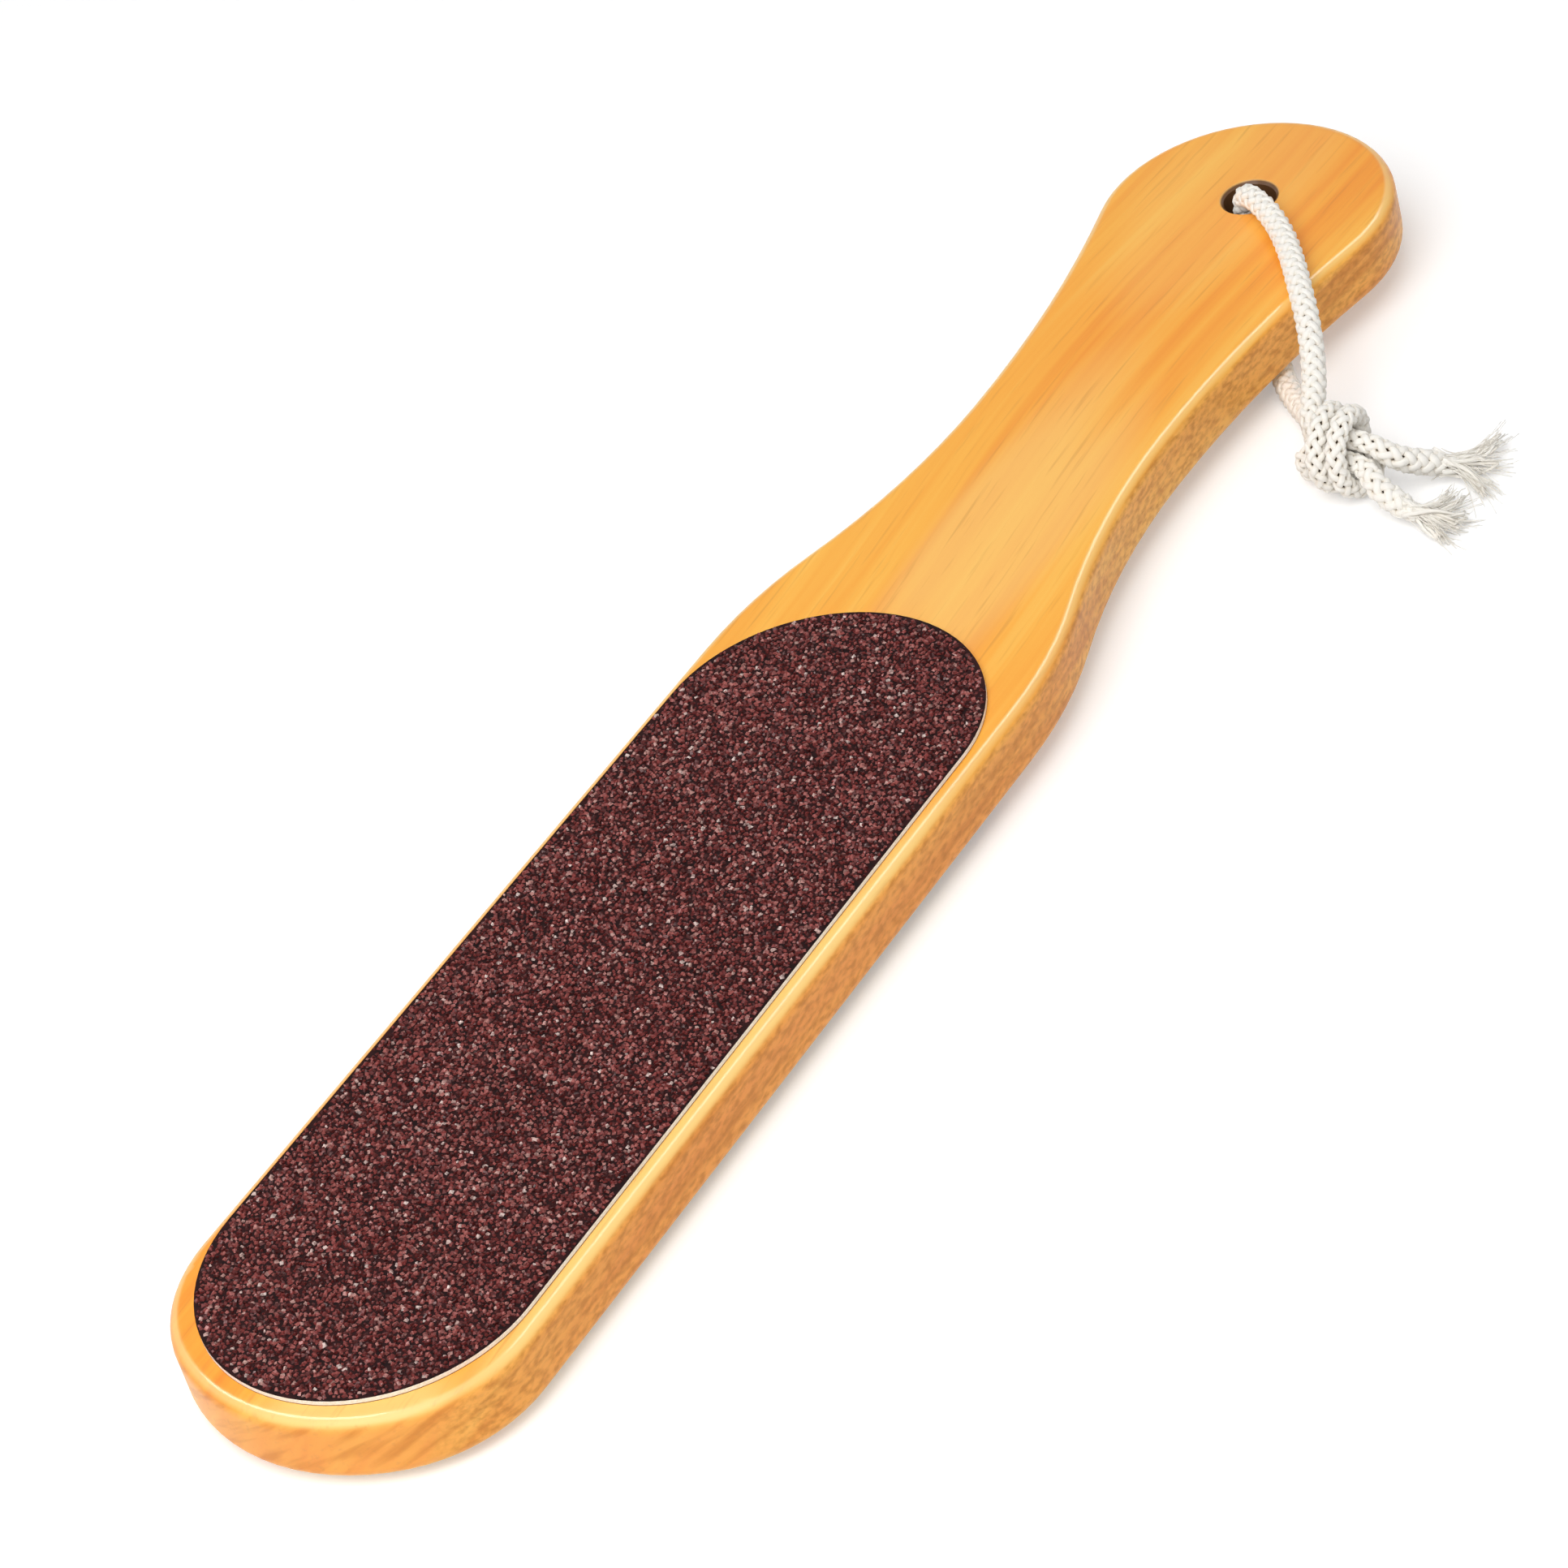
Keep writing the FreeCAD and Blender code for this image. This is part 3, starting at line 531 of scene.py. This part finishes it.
# Braided cotton: matt off-white yarn, with painted light on the crowns of the stitches and painted shade,
# tan to dark brown, in the gaps
cotton, tree = new_material("braided_cotton")
place = add(tree, "ShaderNodeTexCoord").outputs["Object"]
own = add(tree, "ShaderNodeAttribute", attribute_name="tone").outputs["Fac"]
# the tone runs from dark brown and tan, painted shade in the gaps, to the cotton's own off-white
cotton_tone = add(tree, "ShaderNodeValToRGB", {"Fac": own}, stops=[
    (0.0, "#54422F"), (0.3, "#CDBEA6"), (0.55, "#EFE7DA"), (1.0, "#FBF8F1")]).outputs["Color"]
# loose fibres of 0.12 mm, drawn at twice that to show
LINT_PITCH, LINT_DEPTH = 0.25, 0.1
lint = add(tree, "ShaderNodeTexNoise", {"Vector": place, "Scale": 1000 / LINT_PITCH, "Detail": 2.0})
lint_relief = add(tree, "ShaderNodeBump", {
    "Height": lint.outputs["Fac"], "Strength": 0.35, "Distance": LINT_DEPTH * MM})
yarn = add(tree, "ShaderNodeBsdfPrincipled", {
    "Base Color": cotton_tone, "Roughness": 0.9, "IOR": 1.5, "Specular IOR Level": 0.25,
    "Sheen Weight": 0.25, "Sheen Roughness": 0.5, "Normal": lint_relief.outputs[0]})
add(tree, "ShaderNodeOutputMaterial", {"Surface": yarn.outputs[0]})

BRAID_STITCH = 1.9
BUNDLES_EACH_WAY = 4
BUNDLE_CORNERS = 10
# in a cord of full width: how far the bundles run from its line, how far they weave in and out, and
# half their width and height
BUNDLE_REACH, BUNDLE_WEAVE = 1.20, 0.20
BUNDLE_HALF_WIDTH, BUNDLE_HALF_HEIGHT = 0.56, 0.40
# how far a bundle's yarns stand out from it, as a share of its size
BUNDLE_RIDGE = 0.06
# a stitch's middle tone, and how far it goes from under to over and from its edge to its crown: painted
# shade where a bundle dips under and at its edges, painted light where it rides over and on its crown
STITCH_TONE, OVER_TONE, CROWN_TONE = 0.62, 0.22, 0.30
CORE_RADIUS, CORE_CORNERS = 0.8, 8
LINE_SPACING = 0.36
TABLE_CLEARANCE = 0.02


def braided(steps, line, width):
    # bundles of yarn wound both ways, each over one and under the next, round a core coloured dark as
    # painted shade in the gaps, and pressed flat where the cord lies on the table
    side, up = sides_of(line)
    size = width / CORD_WIDTH
    over = np.cos(2 * np.pi * steps / BRAID_STITCH)
    spread = np.sin(2 * np.pi * np.arange(BUNDLE_CORNERS) / BUNDLE_CORNERS)
    parts = []
    for way in (1, -1):
        reach = size * (BUNDLE_REACH + BUNDLE_WEAVE * way * over)
        for bundle in range(BUNDLES_EACH_WAY):
            turn = way * 2 * np.pi * steps / (BRAID_STITCH * BUNDLES_EACH_WAY)
            turn = turn + 2 * np.pi * bundle / BUNDLES_EACH_WAY
            outward = np.cos(turn)[:, None] * side + np.sin(turn)[:, None] * up
            points, faces = swept(line + reach[:, None] * outward, outward, BUNDLE_HALF_WIDTH * size,
                                  BUNDLE_HALF_HEIGHT * size, BUNDLE_CORNERS, ridge=BUNDLE_RIDGE)
            points[:, 2] = np.maximum(points[:, 2], TABLE_CLEARANCE)
            # painted light and shade: paler where a bundle rides over and on its outer side, darker where it
            # dips under and on its inner side
            tone = STITCH_TONE + OVER_TONE * way * over[:, None] + CROWN_TONE * spread
            parts.append((MM * points, faces, 0, np.clip(tone, 0, 1).ravel()))
    # the core, at the darkest tone: painted shade seen through the gaps
    points, faces = swept(line, side, CORE_RADIUS * size, CORE_RADIUS * size, CORE_CORNERS)
    parts.append((MM * points, faces, 0, 0.0))
    return parts


knot_tied, knot_straight = knot_routes()
STRANDS = {
    # name: route, cord width along it as (share of its length, mm), the solids it stands for
    "cord_front_strand": (
        FRONT_LEG + knot_straight + UPPER_TAIL,
        [(0.0, 3.5), (0.66, 3.6), (0.74, 3.0), (0.84, 3.0), (0.89, 3.6), (0.95, 3.9), (1.0, 2.2)],
        ("cord_front_leg", "cord_upper_tail")),
    "cord_back_strand": (
        BACK_LEG + knot_tied + LOWER_TAIL,
        [(0.0, 3.5), (0.32, 3.6), (0.36, 3.0), (0.92, 3.0), (0.95, 3.6), (0.975, 3.9), (1.0, 2.2)],
        ("cord_back_leg", "cord_knot", "cord_lower_tail")),
}
strands = {}
for name, (route, widths, solids) in STRANDS.items():
    steps, line = smooth_line(route, LINE_SPACING)
    width = np.interp(steps / steps[-1], *zip(*widths))
    strand = solid_piece(name, braided(steps, line, width), [cotton], smooth=True)
    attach(strand, "cord")
    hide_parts(*solids)
    strands[name] = (strand, steps[-1], line)


# Frayed ends: past the last stitches the yarns come unlaid and lie on the table in loose tufts,
# a few of them still twisted and the rest combed out into single fibres
YARN_RADIUS, FIBRE_RADIUS = 0.36, 0.08
YARNS_PER_TUFT, FIBRES_PER_TUFT = 5, 26
FIBRE_POINTS, FIBRE_CORNERS = 12, 5
# where a fibre starts inside the braid and where it bends past the end, and how far each is scattered
ROOT_BACK, BEND_AHEAD = 2.6, 1.4
ROOT_SCATTER, BEND_SCATTER, YARN_SCATTER, FIBRE_SCATTER = 0.7, 0.9, 0.5, 0.95
# how far along to its tuft's tip a yarn reaches, and a fibre at least and at most
YARN_SHARE, FIBRE_LEAST, FIBRE_MOST = 0.75, 0.6, 1.0
# how far a fibre curls and through what angle, its width at the tip, and its room over the table, both
# as shares of its own width
FIBRE_CURL, CURL_ANGLE, FIBRE_TAPER, TABLE_ROOM = 0.25, 7, 0.5, 1.1
# tone at the root, and the least and greatest at the tip
ROOT_TONE, TIP_DARKEST, TIP_PALEST = 0.95, 0.65, 1.0
FRAY_SEED = 31
FRAYS = {
    # strand: where the tips of its tufts lie, in mm
    "cord_front_strand": [(85.0, -51.2, 1.8), (82.2, -51.6, 1.6), (78.4, -54.4, 1.2), (73.0, -55.2, 0.8),
                          (70.8, -54.6, 0.8)],
    "cord_back_strand": [(61.2, -54.4, 0.6), (64.8, -54.6, 0.7), (67.6, -55.0, 0.7), (71.2, -52.6, 1.0),
                         (72.6, -49.6, 1.4)],
}
for number, (name, tufts) in enumerate(FRAYS.items()):
    dice = np.random.default_rng(FRAY_SEED + number)
    strand, length, line = strands[name]
    tip = line[-1]
    heading = unit(line[-1] - line[-4])
    share = np.linspace(0, 1, FIBRE_POINTS)[:, None]
    parts = []
    for tuft in tufts:
        for fibre in range(YARNS_PER_TUFT + FIBRES_PER_TUFT):
            twisted = fibre < YARNS_PER_TUFT
            root = tip - ROOT_BACK * heading + dice.normal(0, ROOT_SCATTER, 3)
            end = np.array(tuft) + dice.normal(0, YARN_SCATTER if twisted else FIBRE_SCATTER, 3)
            end = tip + (end - tip) * (YARN_SHARE if twisted else dice.uniform(FIBRE_LEAST, FIBRE_MOST))
            bend = tip + BEND_AHEAD * heading + dice.normal(0, BEND_SCATTER, 3)
            fibre_line = (1 - share) ** 2 * root + 2 * share * (1 - share) * bend + share ** 2 * end
            fibre_line += FIBRE_CURL * share * np.sin(CURL_ANGLE * share + dice.uniform(0, 2 * np.pi, 3))
            radius = YARN_RADIUS if twisted else FIBRE_RADIUS
            radius = radius * np.linspace(1.0, FIBRE_TAPER, FIBRE_POINTS)
            fibre_line[:, 2] = np.maximum(fibre_line[:, 2], TABLE_ROOM * radius)
            side, up = sides_of(fibre_line)
            points, faces = swept(fibre_line, side, radius, radius, FIBRE_CORNERS)
            tone = np.linspace(ROOT_TONE, dice.uniform(TIP_DARKEST, TIP_PALEST), FIBRE_POINTS)
            parts.append((MM * points, faces, 0, np.repeat(tone, FIBRE_CORNERS)))
    fray = solid_piece(name.replace("strand", "fray"), parts, [cotton], smooth=True)
    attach(fray, "cord")


# Floor and light: a plain white sweep in a light tent, with a softbox above. Two strips of light,
# seen only in the gloss, draw the rounded edges along the right side and round the toe.
FLOOR_REACH = 4
PAPER_LIFT, TENT_LIGHT = 0.30, 0.45


def in_view(tree):
    # 1 for a ray of the camera's, a reflection or a view through glass, and 0 for one that gathers light
    seen = add(tree, "ShaderNodeLightPath").outputs
    either = seen["Is Camera Ray"]
    for kind in ("Is Glossy Ray", "Is Transmission Ray"):
        either = add(tree, "ShaderNodeMath", {0: either, 1: seen[kind]}, operation="MAXIMUM").outputs[0]
    return either


floor_mesh = bpy.data.meshes.new("floor")
corners = [(FLOOR_REACH * x, FLOOR_REACH * y, 0) for x, y in ((-1, -1), (1, -1), (1, 1), (-1, 1))]
floor_mesh.from_pydata(corners, [], [(0, 1, 2, 3)])
floor = bpy.data.objects.new("floor", floor_mesh)
scene.collection.objects.link(floor)
paper, tree = new_material("white_paper")
paper_skin = add(tree, "ShaderNodeBsdfDiffuse", {"Color": srgb("#F0F0F0")})
lift = add(tree, "ShaderNodeMath", {0: in_view(tree), 1: PAPER_LIFT}, operation="MULTIPLY")
glow = add(tree, "ShaderNodeEmission", {"Color": (1, 1, 1, 1), "Strength": lift.outputs[0]})
paper_add = add(tree, "ShaderNodeAddShader", {0: paper_skin.outputs[0], 1: glow.outputs[0]})
add(tree, "ShaderNodeOutputMaterial", {"Surface": paper_add.outputs[0]})
floor_mesh.materials.append(paper)

world = bpy.data.worlds.new("light_tent")
world.use_nodes = True
world.node_tree.nodes.clear()
tree = world.node_tree
tent = add(tree, "ShaderNodeBackground", {"Color": (1, 1, 1, 1), "Strength": TENT_LIGHT})
white = add(tree, "ShaderNodeBackground", {"Color": (1, 1, 1, 1), "Strength": 1.0})
both = add(tree, "ShaderNodeMixShader", {0: in_view(tree), 1: tent.outputs[0], 2: white.outputs[0]})
add(tree, "ShaderNodeOutputWorld", {"Surface": both.outputs[0]})
scene.world = world

LIGHTS = {
    # name: place (m), size (m), power (W), whether it lights the object or is only seen in its gloss
    "top_softbox": ((-0.42, -0.10, 0.70), (0.8, 0.6), 5.2, True),
    "right_strip": ((0.52, -0.09, 0.73), (0.6, 0.20), 5.0, False),
    "toe_strip": ((-0.14, 0.47, 0.76), (0.20, 0.6), 8.0, False),
}
for name, (lamp_place, size, power, lights_object) in LIGHTS.items():
    lamp = bpy.data.lights.new(name, "AREA")
    lamp.shape = "RECTANGLE"
    lamp.size, lamp.size_y = size
    lamp.energy = power
    holder = bpy.data.objects.new(name, lamp)
    behind = Vector(lamp_place).normalized()
    side = (Vector((1, 0, 0)) - behind * behind.x).normalized()
    holder.matrix_world = Matrix.Translation(lamp_place) @ Matrix(
        (side, behind.cross(side), behind)).transposed().to_4x4()
    holder.visible_diffuse = lights_object
    scene.collection.objects.link(holder)


# Camera: a long lens from above the toe, rolled so that the file runs corner to corner. Its place
# and its focal length, in pixels of the square picture, were fitted to the board's outline.
CAMERA_PLACE = Vector((-0.42336, -0.36528, 0.42978))
CAMERA_AIM = Vector((-0.0172, -0.0019, 0.0120))
CAMERA_UP = Vector((0.6204, 0.1832, 0.7626))
SENSOR_MM = 36.0
FOCAL_PX, IMAGE_PX = 6823.0, 1932.0
ahead = (CAMERA_AIM - CAMERA_PLACE).normalized()
right = ahead.cross(CAMERA_UP).normalized()
lens = bpy.data.cameras.new("camera")
lens.sensor_width = SENSOR_MM
lens.lens = SENSOR_MM * FOCAL_PX / IMAGE_PX
lens.clip_end = 20.0
camera = bpy.data.objects.new("camera", lens)
camera.matrix_world = Matrix.Translation(CAMERA_PLACE) @ Matrix(
    (right, right.cross(ahead), -ahead)).transposed().to_4x4()
scene.collection.objects.link(camera)
scene.camera = camera
scene.view_settings.view_transform = "Standard"
